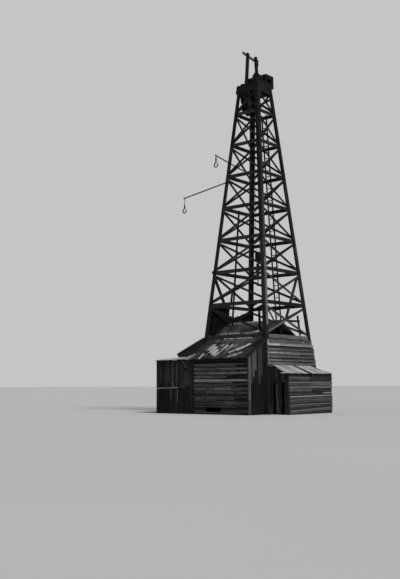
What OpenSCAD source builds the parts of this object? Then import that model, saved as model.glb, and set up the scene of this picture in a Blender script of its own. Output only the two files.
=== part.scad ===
// Timber derrick with a boarded house round its foot.
// Millimetres, +Z up, origin at ground level in the middle of the derrick.
// The front is the -Y side, the right side is +X.

/* [Derrick] */
// width across the outer faces of the legs at the ground
foot_w = 6027; // [5400:1:6400]
// width across the outer faces of the legs at their tops
crown_w = 1630; // [1500:1:1900]
// height of the leg tops
leg_top = 22250; // [21500:1:23000]
// height of the derrick floor
floor_z = 520; // [450:1:600]
// height of one bay, from girt to girt
bay_h = 2190; // [2140:1:2200]
// width of a leg plank
leg_w = 270; // [240:1:310]
// thickness of the leg planks, the girts and the braces
plank_t = 50; // [40:1:60]
// height of a girt
girt_h = 240; // [200:1:280]
// width of a brace
brace_w = 140; // [110:1:170]

/* [Crown] */
// side of the square timbers of the crown
crown_beam = 280; // [240:1:300]
// length of the pulley beams
pulley_beam_l = 1560; // [1400:1:1700]
// height of the posts over the crown
gin_h = 2050; // [1800:1:2300]
// diameter of the crown pulley
crown_pulley_d = 600; // [540:1:620]

/* [House] */
// height of the ridge of the house
ridge_z = 6020; // [5850:1:6100]
// ridge line, measured from the middle of the derrick
ridge_y = -450; // [-600:1:-300]
// fall of the house roof for each unit of run
roof_fall = 0.573; // [0.55:0.001:0.59]
// thickness of the roof boarding
roof_t = 40; // [30:1:50]
// thickness of the wall boarding
board_t = 30; // [25:1:40]
// side of a square post
post_w = 110; // [90:1:130]
// distance of the front wall from the middle of the derrick
front_y = 4650; // [4500:1:4800]
// left end of the front wall
front_left_x = -1650; // [-1800:1:-1500]
// distance of the front room's end wall from the middle of the derrick
front_end_x = 2680; // [2600:1:2740]
// how far the front eave stands out from the wall
front_eave = 350; // [250:1:450]
// top of the siding of the derrick
siding_top = 4450; // [4400:1:4500]

/* [Right room] */
// distance of the right wall from the middle of the derrick
right_x = 4300; // [4200:1:4500]
// height of the right eave
right_eave_z = 2520; // [2450:1:2600]
// height of the top edge of the right roof
right_roof_z = 3060; // [3000:1:3100]
// width of the doorway in the end wall
door_w = 800; // [700:1:850]
// height of the doorway
door_h = 1950; // [1850:1:2000]

/* [Left side] */
// far end of the left roof
left_x = -4900; // [-5050:1:-4750]
// top edge of the left roof, at the derrick
left_roof_z = 4960; // [4900:1:5000]
// fall of the left roof for each unit of run
left_fall = 0.43; // [0.41:0.001:0.45]
// depth of the boarding along the left roof's front edge
fascia_h = 480; // [420:1:520]
// top of the annex wall
annex_top = 3450; // [3400:1:3550]

/* [Hung gear] */
// tip of the lower side pole, measured from the middle of the derrick
low_tip_x = -5146; // [-5300:1:-4800]
// tip of the upper side pole
high_tip_x = -2482; // [-2600:1:-2350]
// outside diameter of a ring
ring_d = 380; // [330:1:420]
// diameter of the pipe that stands in the derrick
tube_d = 130; // [110:1:160]

/* [Hidden] */
seat = 0.3;
fuse = 1;
taper = (foot_w - crown_w) / 2 / leg_top;
lean = atan(taper);
crown_girt_h = 600;
crown_girt_z = leg_top - crown_girt_h / 2;
function hw(z) = foot_w / 2 - taper * z;
function level(k) = k == 10 ? crown_girt_z : floor_z + bay_h * k;
function up(z) = z / cos(lean);
function roof_z(y) = ridge_z - roof_fall * abs(y - ridge_y);
roof_angle = atan(roof_fall);
side_in = 3 * plank_t + seat - fuse;
skin = (board_t + 2 * seat) / cos(lean);
rt = roof_t / cos(roof_angle);
eave_y = -front_y - front_eave;
function under(y) = roof_z(y) - (roof_t + seat) / cos(roof_angle);
lower_top_y = -(foot_w / 2 + seat - taper * (ridge_z - rt - roof_fall * ridge_y)) / (1 - taper * roof_fall);
girt2 = level(2);
upper_low_y = -(hw(girt2) - side_in - 20);
base_top = leg_top + seat + crown_beam;
edge_off = seat / cos(lean);
right_t = 28;
right_out = right_x + 100;
right_in = right_x - board_t - seat;
right_fall = (right_roof_z - right_eave_z) / (right_out - hw(right_roof_z) - skin);
function right_under(x) = right_eave_z + right_fall * (right_out - x) - right_t - seat;
siding_low = 2950;
annex_fall = 0.11;
annex_t = 30;
annex_back = hw(annex_top + 200) + 2;
function annex_under(y) = annex_top + seat + annex_fall * (y + front_y);
left_t = 35;
left_in = hw(left_roof_z) + skin;
function left_under(x) = left_roof_z - left_fall * (-x - left_in) - left_t - seat;
left_angle = atan(left_fall);
iron_d = 74;

module on_face(k) rotate([0, 0, 90 * k]) translate([0, -foot_w / 2, 0]) rotate([90 - lean, 0, 0]) children();

// a flat strip in the plane of a side, from depth d to depth d + t, inside its outer face
module layer(d, t) translate([0, 0, -d - t]) linear_extrude(t) children();

// a board that runs level along a side, between the heights z0 and z1
module level_strip(z0, z1, a0, b0, a1, b1)
  polygon([[-hw(z0) + a0, up(z0)], [hw(z0) - b0, up(z0)], [hw(z1) - b1, up(z1)], [-hw(z1) + a1, up(z1)]]);

module side_girt(k, e) {
  h = k == 10 ? crown_girt_h : girt_h;
  level_strip(level(k) - h / 2, level(k) + h / 2 + (k == 10 ? 5 : 0), e, e, e, e);
}

// one diagonal of a bay, rising to the right for s = 1 and to the left for s = -1
module side_brace(k, s, e) {
  z0 = level(k);
  z1 = level(k + 1);
  off = girt_h / 2 + 60;
  x0 = hw(z0 + off + brace_w) - e;
  x1 = hw(z1 - off + brace_w) - e;
  rise = (z1 - z0 - 2 * off) / (x0 + x1);
  v = brace_w / 2 * sqrt(1 + rise * rise);
  polygon([[-s * x0, up(z0 + off - v)], [s * x1, up(z1 - off - v)], [s * x1, up(z1 - off + v)], [-s * x0, up(z0 + off + v)]]);
}

module side(k, odd, low) {
  e1 = plank_t + 2 + odd * plank_t;
  e2 = side_in + 4;
  on_face(k) {
    layer(plank_t + seat, plank_t) {
      for (i = [max(low, 1):10]) side_girt(i, e1);
      for (i = [low:9]) side_brace(i, 1, e1);
    }
    layer(2 * plank_t + seat - fuse, plank_t) for (i = [low:9]) side_brace(i, -1, odd == 1 ? e2 : e1 + plank_t);
  }
}

module side_front() color([0.3, 0.28, 0.26]) side(0, 0, 2);
module side_right() color([0.3, 0.28, 0.26]) side(1, 1, 2);
// boards across the back left corner, below the crown girts; d is their depth, from u0 to u1 off the corner
corner_low = crown_girt_z - crown_girt_h / 2 - 760;
module corner_board(d, s, u0, in) {
  z1 = crown_girt_z - crown_girt_h / 2 + 100;
  layer(d, board_t) polygon([[s * u0, up(corner_low)], [s * (hw(corner_low) - in), up(corner_low)], [s * (hw(z1) - in), up(z1)], [s * u0, up(z1)]]);
}

module side_back() color([0.3, 0.28, 0.26]) {
  side(2, 0, 0);
  on_face(2) corner_board(2 * plank_t + seat - fuse, 1, 450, side_in + 5);
}
module side_left() color([0.3, 0.28, 0.26]) {
  side(3, 1, 0);
  on_face(3) corner_board(side_in - fuse, -1, 130, 2 * plank_t + board_t + 5);
}

module legs() color([0.33, 0.31, 0.29]) difference() {
  for (k = [0:3]) on_face(k) layer(0, plank_t) for (s = [-1, 1])
    polygon([[s * hw(0), 0], [s * hw(leg_top + 20), up(leg_top + 20)], [s * (hw(leg_top + 20) - leg_w), up(leg_top + 20)], [s * (hw(0) - leg_w), 0]]);
  translate([-foot_w, -foot_w, -500]) cube([2 * foot_w, 2 * foot_w, 500]);
  translate([-foot_w, -foot_w, leg_top]) cube([2 * foot_w, 2 * foot_w, 500]);
}

// two timbers that lie on the leg tops, and one between them that carries the gin posts
// the crown timbers lie a little to the left of the middle
crown_x = -110;
module crown_base() color([0.3, 0.28, 0.26]) translate([crown_x, 0, leg_top + seat]) {
  translate([hw(leg_top) - crown_beam, -hw(leg_top), 0]) cube([crown_beam, hw(leg_top) + base_back, crown_beam]);
  translate([-hw(leg_top), -400, 0]) cube([crown_beam, 400 + base_back, crown_beam]);
  translate([gin_x - crown_x - 80, -760, 0]) cube([160, 1520, crown_beam]);
}
base_back = 1250;
gin_x = crown_x - 120;

// the beams across them that carry the pulleys: a tall pair behind, a low pair in front
back_beam_y = [300, 940];
front_beam_y = [-600, -290];
beams_end = 850;
module crown_beams() color([0.3, 0.28, 0.26]) translate([crown_x, 0, base_top + seat]) {
  translate([beams_end - pulley_beam_l, back_beam_y[0], 0]) cube([pulley_beam_l, 150, 2 * crown_beam]);
  translate([beams_end - pulley_beam_l, back_beam_y[1], 0]) cube([pulley_beam_l, 240, 2 * crown_beam]);
  translate([beams_end - 250, back_beam_y[0] + 149, crown_beam]) cube([250, 492, crown_beam]);
  for (y = front_beam_y) {
    translate([10, y, 0]) cube([beams_end - 10, 120, 150]);
    translate([350, y, 149]) cube([beams_end - 350, 120, 151]);
  }
  translate([beams_end - 110, front_beam_y[0] + 119, 0]) cube([110, 192, 300]);
}

// a grooved pulley with its hub and shaft, and round holes in its web if it is a large one
rim_t = 70;
hub_d = 150;
groove = 35;
hoist_w = 90;
module wheel(d, w, hub_l, shaft_l) rotate([90, 0, 0]) {
  rim_in = d / 2 - rim_t;
  difference() {
    union() {
      rotate_extrude($fn = 48) polygon([[rim_in, -w / 2], [d / 2, -w / 2], [d / 2 - groove, 0], [d / 2, w / 2], [rim_in, w / 2]]);
      cylinder(h = w * 0.5, r = rim_in + 10, center = true, $fn = 48);
    }
    if (rim_in > hub_d) for (a = [0:5]) rotate([0, 0, 60 * a]) translate([(rim_in + hub_d / 2) / 2, 0, 0]) cylinder(h = w, d = 0.55 * (rim_in - hub_d / 2), center = true, $fn = 24);
  }
  cylinder(h = hub_l, d = hub_d, center = true, $fn = 32);
  cylinder(h = shaft_l, d = 70, center = true, $fn = 24);
}

module crown_pulleys() color([0.2, 0.19, 0.18]) {
  translate([crown_x + 275, (back_beam_y[0] + 150 + back_beam_y[1]) / 2, base_top + seat + crown_pulley_d / 2 - 35]) wheel(crown_pulley_d, 110, 160, back_beam_y[1] - back_beam_y[0] - 150 - 2 * seat);
  translate([crown_x + 510, -385, base_top + 300 + 2 * seat + 35]) wheel(440, 80, 110, 400);
  translate([hoist[0], 20, base_top + 150 + 2 * seat + 35]) wheel(hoist_d + 40, hoist_w, 150, 2 * 279.7);
}

gin_tilt = 5;
module gin_post(s) translate([gin_x, s * 630, base_top + seat]) rotate([s * gin_tilt, 0, 0]) translate([-75, -100, 20]) cube([150, 200, gin_h - 20]);
module gin_posts() color([0.3, 0.28, 0.26]) difference() {
  for (s = [-1, 1]) {
    gin_post(s);
    translate([gin_x, s * 630, base_top + seat]) rotate([s * gin_tilt, 0, 0]) translate([-75, -100, -40]) cube([150, 200, 80]);
    if (s == 1) translate([gin_x, s * 630, base_top + seat]) rotate([s * gin_tilt, 0, 0]) translate([-75, 99, gin_h - 620]) cube([150, 90, 430]);
  }
  translate([gin_x - 200, -1000, base_top + seat - 300]) cube([400, 2000, 300]);
}

module gin_beam() color([0.36, 0.34, 0.31]) translate([gin_x - 75 - seat - 60, 0, base_top + gin_h - 170])
  rotate([-8, 0, 0]) translate([0, -900, -65]) cube([60, 1500, 130]);

ladder_u = -150;
module ladder() color([0.34, 0.32, 0.29]) on_face(2) {
  for (s = [-1, 1]) layer(side_in + seat, 70) translate([ladder_u + s * 190 - 20, up(900)]) square([40, up(19600)]);
  for (i = [0:45]) translate([ladder_u - 200, up(1100 + 420 * i) - 20, -side_in - seat - 60]) cube([400, 40, 40]);
}

// a straight timber laid flat on a side, from (u0, z0) to (u1, z1)
module face_bar(u0, z0, u1, z1, w) {
  l = norm([u1 - u0, z1 - z0]);
  translate([u0, up(z0)]) rotate(atan2(up(z1) - up(z0), u1 - u0)) translate([0, -w / 2]) square([l, w]);
}

module round_between(a, b, d, n) {
  v = b - a;
  l = norm(v);
  translate(a) rotate([0, acos(v[2] / l), atan2(v[1], v[0])]) cylinder(h = l, d = d, $fn = n);
}

pole_d = 80;
function at_pole(x, z) = [x, -(hw(z) + (pole_d / 2 + seat) / cos(lean)), z];
low_tip = at_pole(low_tip_x, 14886);
low_end = at_pole(-1158, 15470);
high_tip = at_pole(high_tip_x, 17593);
high_end = at_pole(51, 16012);
eye_r = 60;
eye_t = 22;

function along(a, b, d) = a + (b - a) * (d / norm(b - a));

module pole_low() color([0.34, 0.32, 0.29]) round_between(low_tip, low_end, pole_d, 24);
module pole_high() color([0.34, 0.32, 0.29]) round_between(high_tip, high_end, pole_d, 24);

pin_gap = 0.5;
// how far the middle of an eye hangs below a pole from a to b
function hang(a, b) = eye_r + eye_t / 2 - (pole_d / 2 + eye_t / 2 + pin_gap) * norm(b - a) / norm([b[0] - a[0], b[1] - a[1]]);

// an eye round the pole, a link, a shank and an open ring below it
module hook(tip, end, drop, shank_l) translate(along(tip, end, 70)) {
  translate([0, 0, -hang(tip, end)]) rotate([0, 90, 0]) rotate_extrude($fn = 24) translate([eye_r + eye_t / 2, 0]) circle(d = eye_t, $fn = 16);
  translate([0, 0, -drop]) cylinder(h = drop - hang(tip, end) - eye_r - 10, d = 36, $fn = 16);
  translate([0, 0, -drop - 40]) cylinder(h = shank_l, d = 100, $fn = 24);
  translate([0, 0, -drop - 20 - ring_d / 2]) rotate([90, 0, 0]) rotate([0, 0, 85]) rotate_extrude(angle = 305, $fn = 36) translate([ring_d / 2 - iron_d / 2, 0]) circle(d = iron_d, $fn = 16);
}

module hook_low() color([0.15, 0.14, 0.13]) hook(low_tip, low_end, 690, 220);
module hook_high() color([0.15, 0.14, 0.13]) hook(high_tip, high_end, 450, 350);

hoist = [crown_x + 170, 0];
hoist_d = 260;
block_top = 10760;
line_d = 26;
// the two falls of the hoist line lie in the groove of the middle pulley, on either side
line_in = line_d / 2 / sin(atan2(hoist_w / 2, groove)) + 2 * seat;
module hoist_lines() color([0.2, 0.19, 0.17]) for (s = [-1, 1])
  translate([hoist[0] + s * ((hoist_d + 40) / 2 - groove + line_in), 20, block_top + seat]) cylinder(h = base_top + 150 + 35 - block_top, d = line_d, $fn = 8);
module hoist_block() color([0.16, 0.15, 0.14]) translate([hoist[0], 20, 0]) {
  translate([0, 0, block_top - 100]) cube([400, 120, 200], center = true);
  translate([0, 0, block_top - 330]) cube([260, 140, 420], center = true);
  translate([0, 0, block_top - 300]) rotate([90, 0, 0]) cylinder(h = 100, d = 380, center = true, $fn = 32);
  translate([0, 0, 9080]) cylinder(h = 1200, d = 50, $fn = 12);
  translate([0, 0, 8980]) rotate([90, 0, 0]) rotate_extrude($fn = 24) translate([120, 0]) circle(d = 56, $fn = 12);
}

pipe_top = [-870, -800, 13550];
pipe_foot = [-1794, -1003, floor_z];
pipe_tilt = norm([pipe_top[0] - pipe_foot[0], pipe_top[1] - pipe_foot[1]]) / norm(pipe_top - pipe_foot);
module standing_pipe() color([0.24, 0.22, 0.2]) round_between(pipe_foot + [0, 0, seat + tube_d / 2 * pipe_tilt], pipe_top, tube_d, 24);

module strut_left() color([0.34, 0.32, 0.29]) on_face(0) layer(side_in + seat, 60) face_bar(-2039, 8890, -1150, 7170, 110);
module strut_right() color([0.34, 0.32, 0.29]) on_face(1) layer(side_in + seat, 60) face_bar(1930, 9000, 300, 6200, 120);

floor_half = hw(floor_z) - 302;
module floor_boards() color([0.36, 0.33, 0.3]) translate([-floor_half, -floor_half, floor_z - 50]) cube([2 * floor_half, 2 * floor_half, 50]);
sill_w = 250;
// five sills; the outer ones reach the inner faces of the leg planks
module floor_sills() color([0.3, 0.28, 0.26]) for (i = [-2:2]) translate([(floor_half + 40) / 2 * i - sill_w / 2, 0, 0]) rotate([90, 0, 90]) linear_extrude(sill_w) {
  top = floor_z - 50 - seat;
  in = (plank_t + seat) / cos(lean);
  polygon([[-hw(0) + in, 0], [hw(0) - in, 0], [hw(top) - in, top], [-hw(top) + in, top]]);
}

module siding(k, z0, z1, a, b) on_face(k) layer(-board_t - seat, board_t) level_strip(z0, z1, -a, -b, -a, -b);
module siding_right() color([0.5, 0.48, 0.45]) {
  siding(1, siding_low, siding_top, 0, 150);
  on_face(1) layer(-board_t - seat, board_t) {
    level_strip(siding_top, 4740, 20, 20, 20, 20);
    polygon([[far_wall_y - 60, up(60)], [hw(60) + 150, up(60)], [hw(siding_low) + 150, up(siding_low)], [far_wall_y - 60, up(siding_low)]]);
  }
}
far_wall_y = 2240;
module siding_back() color([0.42, 0.4, 0.37]) siding(2, 60, siding_top, 0, 0);
module siding_left() color([0.42, 0.4, 0.37]) {
  siding(3, 60, siding_top, 0, 0);
  on_face(3) layer(-board_t - seat, board_t) {
    level_strip(siding_top, 4740, 20, 20, 20, 20);
    polygon([[-hw(4740) + 345, up(4740)], [hw(4740) - 245, up(4740)], [hw(6900) - 82, up(6900)], [100, up(6930)], [50, up(6520)], [-680, up(6560)], [-hw(7000) + 142, up(7000)]]);
  }
}

module roof_slope(x0, x1, y0, y1) translate([x0, 0, 0]) rotate([90, 0, 90]) linear_extrude(x1 - x0)
  polygon([[y0, roof_z(y0)], [y1, roof_z(y1)], [y1, roof_z(y1) - rt], [y0, roof_z(y0) - rt]]);

// the standing pipe goes through a square hole in this slope
pipe_gap = 65;
module roof_upper_front() color([0.4, 0.38, 0.35]) difference() {
  roof_slope(-2060, 2220, upper_low_y, ridge_y);
  hole = tube_d + 2 * pipe_gap;
  at = pipe_foot + (pipe_top - pipe_foot) * ((roof_z(pipe_foot[1]) - floor_z) / (pipe_top[2] - floor_z));
  translate([at[0] - hole / 2, at[1] - hole / 2, at[2] - 400]) cube([hole, hole, 800]);
}
module roof_upper_back() color([0.4, 0.38, 0.35]) roof_slope(-2060, 2220, ridge_y + seat, 2330);
module roof_lower() color([0.44, 0.42, 0.39]) roof_slope(-2060, 2790, eave_y, lower_top_y);

module roof_frame() color([0.32, 0.3, 0.28]) {
  top = ridge_z - rt - roof_fall * 50 - seat;
  translate([-2060, ridge_y - 50, top - 150]) cube([4280, 100, 150]);
  for (x = [-2060, 2120]) translate([x, ridge_y - 50, floor_z + seat]) cube([100, 100, top - 149 - floor_z]);
}

// a short post that stands on the roof inside the front side
post_y = -1540;
module roof_post() color([0.32, 0.3, 0.28]) translate([1230, 0, 0]) rotate([90, 0, 90]) linear_extrude(80)
  polygon([[post_y, roof_z(post_y) + seat], [post_y + 80, roof_z(post_y + 80) + seat], [post_y + 80, 6650], [post_y, 6650]]);

module front_wall() color([0.36, 0.34, 0.31]) translate([0, -front_y, 0]) rotate([90, 0, 0]) translate([0, 0, -board_t]) linear_extrude(board_t) difference() {
  translate([front_left_x, 0]) square([front_end_x - front_left_x, under(-front_y)]);
  translate([-650, 150]) square([1150, 400]);
}
front_in = -front_y + board_t + seat;
module front_end() color([0.36, 0.34, 0.31]) translate([front_end_x - board_t, 0, 0]) rotate([90, 0, 90]) linear_extrude(board_t)
  polygon([[front_in, 0], [-hw(0) - edge_off, 0], [lower_top_y, under(lower_top_y)], [front_in, under(front_in)]]);
module front_frame() color([0.32, 0.3, 0.28]) for (x = [front_left_x, 500, front_end_x - board_t - post_w - seat])
  translate([x, front_in, 0]) cube([post_w, post_w, under(front_in)]);

module right_wall() color([0.45, 0.43, 0.4]) translate([right_x - board_t, near_wall_y - board_t, 0]) cube([board_t, far_wall_y - near_wall_y + board_t, right_under(right_x)]);
near_wall_y = -2690;
module right_end_near() color([0.3, 0.28, 0.26]) translate([0, near_wall_y, 0]) rotate([90, 0, 0]) linear_extrude(board_t) difference() {
  polygon([[hw(0) + edge_off, 0], [right_in, 0], [right_in, right_under(right_in)], [hw(siding_low) + skin, right_under(hw(siding_low) + skin)],
    [hw(siding_low) + skin, siding_low - 1], [hw(siding_low - 1) + edge_off, siding_low - 1]]);
  translate([hw(0) + 100, -10]) square([door_w, door_h + 10]);
}
module right_end_far() color([0.3, 0.28, 0.26]) translate([0, far_wall_y, 0]) rotate([90, 0, 0]) linear_extrude(board_t)
  polygon([[hw(0) + skin, 0], [right_in, 0], [right_in, right_under(right_in)], [hw(siding_low + 60) + skin, right_under(hw(siding_low + 60) + skin)]]);
module right_frame() color([0.32, 0.3, 0.28]) for (y = [near_wall_y + seat, -300, far_wall_y - board_t - post_w - seat])
  translate([right_in - post_w, y, 0]) cube([post_w, post_w, right_under(right_in)]);
module right_roof() color([0.62, 0.61, 0.58]) intersection() {
  xb = hw(right_roof_z - right_t) + skin;
  translate([0, 3000, 0]) rotate([90, 0, 0]) linear_extrude(8000)
    polygon([[hw(right_roof_z) + skin, right_roof_z], [right_out, right_eave_z], [right_out, right_eave_z - right_t], [xb, right_eave_z - right_t + right_fall * (right_out - xb)]]);
  linear_extrude(4000) polygon([[right_out + 100, -3670], [right_out + 100, 2290], [2600, 2140], [2600, -2400]]);
}

left_top = [for (x = [-left_in, left_x]) left_under(x) + left_t + seat];
left_front = hw(annex_top + 200) - 103;
left_back = hw(annex_top + 200) - 303;
module left_roof() color([0.38, 0.36, 0.33]) translate([0, left_back, 0]) rotate([90, 0, 0]) linear_extrude(left_front + left_back)
  polygon([[-left_in, left_top[0]], [left_x, left_top[1]], [left_x, left_top[1] - left_t], [-hw(left_roof_z - left_t) - skin, left_top[0] - left_t]]);
module left_fascia() color([0.3, 0.28, 0.26]) translate([0, -left_front - seat, 0]) rotate([90, 0, 0]) linear_extrude(board_t) {
  x0 = -hw(left_roof_z - fascia_h - 80) - skin;
  drop = fascia_h / cos(left_angle);
  polygon([[x0, left_under(x0) + left_t], [left_x, left_under(left_x) + left_t],
    [left_x + fascia_h * sin(left_angle), left_under(left_x) + left_t - fascia_h * cos(left_angle)], [x0, left_under(x0) + left_t - drop]]);
}
module left_posts() color([0.32, 0.3, 0.28]) for (y = [50 - left_front, left_back - 200]) translate([left_x + 60, y, 0]) cube([post_w, post_w, left_under(left_x + 60)]);

annex_in = front_y - board_t - seat;
module annex_walls() color([0.32, 0.3, 0.28]) {
  translate([left_x, -front_y, 0]) cube([front_left_x - seat - left_x, board_t, annex_top]);
  translate([left_x, 0, 0]) rotate([90, 0, 90]) linear_extrude(board_t)
    polygon([[-front_y, 0], [-hw(0) - skin + fuse, 0], [-hw(annex_top + 200) - skin + fuse, annex_under(-hw(annex_top + 200) - skin + fuse) - seat], [-front_y, annex_top]]);
  difference() {
    on_face(0) layer(-board_t - seat, board_t)
      polygon([[left_x, up(-20)], [-hw(-20) + 150, up(-20)], [-hw(annex_top + 200) + 150, up(annex_top + 200)], [left_x, up(annex_top + 200)]]);
    translate([left_x - 100, -2 * front_y, -1000]) cube([front_y, 4 * front_y, 1000]);
  }
}
module annex_frame() color([0.3, 0.28, 0.26]) for (x = [left_x + board_t + seat, front_left_x - post_w - 2 * seat])
  translate([x, -annex_in, 0]) cube([post_w, post_w, annex_under(-annex_in) - seat]);
module annex_roof() color([0.55, 0.53, 0.5]) translate([left_x - 60, 0, 0]) rotate([90, 0, 90]) linear_extrude(front_left_x - left_x + 40)
  polygon([[-front_y - 120, annex_under(-front_y - 120)], [-annex_back, annex_under(-annex_back)], [-annex_back, annex_under(-annex_back) + annex_t], [-front_y - 120, annex_under(-front_y - 120) + annex_t]]);

module hand_rail() color([0.32, 0.3, 0.28]) on_face(1) layer(side_in + seat, 70) {
  translate([1240, up(4950)]) square([70, 1350]);
  translate([-60, up(5920)]) square([1310, 90]);
}

legs();
side_front();
side_right();
side_back();
side_left();
crown_base();
crown_beams();
crown_pulleys();
gin_posts();
gin_beam();
ladder();
pole_low();
pole_high();
hook_low();
hook_high();
hoist_lines();
hoist_block();
standing_pipe();
strut_left();
strut_right();
floor_boards();
floor_sills();
siding_right();
siding_left();
siding_back();
roof_upper_front();
roof_upper_back();
roof_frame();
roof_lower();
roof_post();
front_wall();
front_end();
front_frame();
right_wall();
right_end_near();
right_end_far();
right_frame();
right_roof();
left_roof();
left_fascia();
left_posts();
annex_walls();
annex_frame();
annex_roof();
hand_rail();
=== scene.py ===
import random
from math import atan, cos, pi, radians, sin, sqrt, tau

import bmesh
import bpy
from mathutils import Matrix, Vector


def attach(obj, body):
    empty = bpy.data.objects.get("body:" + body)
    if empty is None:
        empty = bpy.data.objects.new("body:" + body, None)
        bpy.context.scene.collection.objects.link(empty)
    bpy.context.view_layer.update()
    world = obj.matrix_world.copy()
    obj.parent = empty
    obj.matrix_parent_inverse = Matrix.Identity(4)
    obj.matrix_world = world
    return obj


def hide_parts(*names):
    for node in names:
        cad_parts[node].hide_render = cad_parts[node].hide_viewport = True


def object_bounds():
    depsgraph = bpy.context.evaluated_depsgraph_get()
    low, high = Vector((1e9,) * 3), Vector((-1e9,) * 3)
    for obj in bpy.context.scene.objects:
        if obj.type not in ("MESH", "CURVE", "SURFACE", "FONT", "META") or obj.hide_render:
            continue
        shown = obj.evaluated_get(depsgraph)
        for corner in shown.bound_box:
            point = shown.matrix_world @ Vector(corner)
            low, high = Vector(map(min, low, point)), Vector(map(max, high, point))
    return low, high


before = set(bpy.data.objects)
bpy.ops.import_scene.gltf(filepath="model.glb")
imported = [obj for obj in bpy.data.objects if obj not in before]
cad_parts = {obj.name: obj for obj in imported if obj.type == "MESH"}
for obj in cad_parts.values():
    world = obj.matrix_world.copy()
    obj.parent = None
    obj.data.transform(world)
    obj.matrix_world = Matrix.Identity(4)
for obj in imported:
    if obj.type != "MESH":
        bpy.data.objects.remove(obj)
cad_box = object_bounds()

# Sizes of the derrick, in metres, as the part's source gives them.
FOOT = 6.027 / 2
LEG_TOP = 22.25
TAPER = (6.027 - 1.63) / 2 / LEG_TOP
LEAN = atan(TAPER)
FLOOR = 0.52
BAY = 2.19
PLANK = 0.05
LEG_W = 0.27
GIRT_H = 0.24
BRACE_W = 0.14
SEAT = 0.0003
BOARD = 0.03
RIDGE_Z = 6.02
RIDGE_Y = -0.45
FALL = 0.573
ROOF_T = 0.04
FRONT_Y = 4.65
FRONT_FACE = BOARD - FRONT_Y
FRONT_LEFT = -1.65
FRONT_END = 2.68
EAVE_Y = -5.0
SIDING_FOOT = 0.06
SIDING_LOW = 2.95
SIDING_TOP = 4.45
PANEL_LOW = 4.74
RIGHT_X = 4.3
RIGHT_OUT = RIGHT_X + 0.1
RIGHT_EAVE = 2.52
RIGHT_TOP = 3.06
NEAR_Y = -2.69
FAR_Y = 2.24
LEFT_X = -4.9
LEFT_TOP = 4.96
LEFT_FALL = 0.43
ANNEX_TOP = 3.45
ANNEX_FALL = 0.11

# Thicknesses of the boards laid on the solids, the gap between roof boards, and depths behind the leg planks.
WALL_T = 0.022
SIDING_T = 0.024
ROOFING_T = 0.026
LINING_T = 0.006
GAP = 0.012
CROWN_GIRT_H = 0.295
GIRT_DEPTH = -0.0753
BRACE_DEPTHS = ((1, -0.0758), (-1, -0.1243))
LOOSE_DEPTH = -0.176

# Tones of single braces, by side, bay and direction. The others are drawn by chance.
BRACE_TONES = {(0, 2, 1): 0.009, (1, 2, -1): 0.045, (1, 3, -1): 0.036, (1, 3, 1): 0.03}


# ---- nodes
def sum_with(operation, turned=False):
    """A method that adds a Math node. turned puts the wire behind the other value."""
    def method(self, other=0.0):
        first, second = (other, self) if turned else (self, other)
        return self.tree.node("ShaderNodeMath", {0: first, 1: second}, operation=operation)
    return method


class Wire:
    """The output of a node. Sums on it add Math nodes to its tree."""

    def __init__(self, tree, socket):
        self.tree = tree
        self.socket = socket

    __add__, __radd__ = sum_with("ADD"), sum_with("ADD", True)
    __sub__, __rsub__ = sum_with("SUBTRACT"), sum_with("SUBTRACT", True)
    __mul__, __rmul__ = sum_with("MULTIPLY"), sum_with("MULTIPLY", True)
    __pow__, __abs__ = sum_with("POWER"), sum_with("ABSOLUTE")

    def ramp(self, low, high):
        """0 up to low, 1 from high, straight between them."""
        return self.tree.node("ShaderNodeMapRange", {0: self, 1: low, 2: high})


class Tree:
    """A node tree, with one method that makes any of its nodes."""

    def __init__(self, tree):
        self.tree = tree

    def node(self, kind, values=None, out=0, **settings):
        made = self.tree.nodes.new(kind)
        for key, value in settings.items():
            setattr(made, key, value)
        self.fill(made, values or {})
        return Wire(self, made.outputs[out]) if len(made.outputs) else made

    def fill(self, made, values):
        """Links wires to a node's inputs, and sets plain values there."""
        for key, value in values.items():
            socket = made.inputs[key]
            if isinstance(value, Wire):
                self.tree.links.new(value.socket, socket)
            else:
                socket.default_value = value

    def vector(self, operation, first, second, socket=1):
        return self.node("ShaderNodeVectorMath", {0: first, socket: second}, operation=operation)

    def part(self, vector, axis):
        return self.node("ShaderNodeSeparateXYZ", {0: vector}, "XYZ".index(axis))

    def joined(self, x, y, z):
        return self.node("ShaderNodeCombineXYZ", {0: x, 1: y, 2: z})

    def on_object(self):
        """The place on the object, in metres."""
        return self.node("ShaderNodeTexCoord", {}, 3)

    def noise(self, place, scale, detail=3.0, rough=0.55):
        values = {"Vector": place, "Scale": scale, "Detail": detail, "Roughness": rough}
        return self.node("ShaderNodeTexNoise", values)

    def mix(self, amount, first, second):
        return self.node("ShaderNodeMix", {0: amount, 6: first, 7: second}, 2, data_type="RGBA")

    def tint(self, value, warm=(1.0, 0.985, 0.955)):
        """A grey of that value, with a little warmth."""
        return self.vector("MULTIPLY", self.joined(value, value, value), warm)


def new_material(name):
    material = bpy.data.materials.new(name)
    material.use_nodes = True
    return material, Tree(material.node_tree)


DULL = 0.03  # how much bare wood and rust reflect, beside the usual 0.5


def finish_material(material, tree, colour, rough, bump, depth):
    shader = material.node_tree.nodes["Principled BSDF"]
    normal = tree.node("ShaderNodeBump", {"Strength": 0.8, "Distance": depth, "Height": bump})
    tree.fill(shader, {"Base Color": colour, "Roughness": rough, "Normal": normal, "Specular IOR Level": DULL})
    return material


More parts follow.
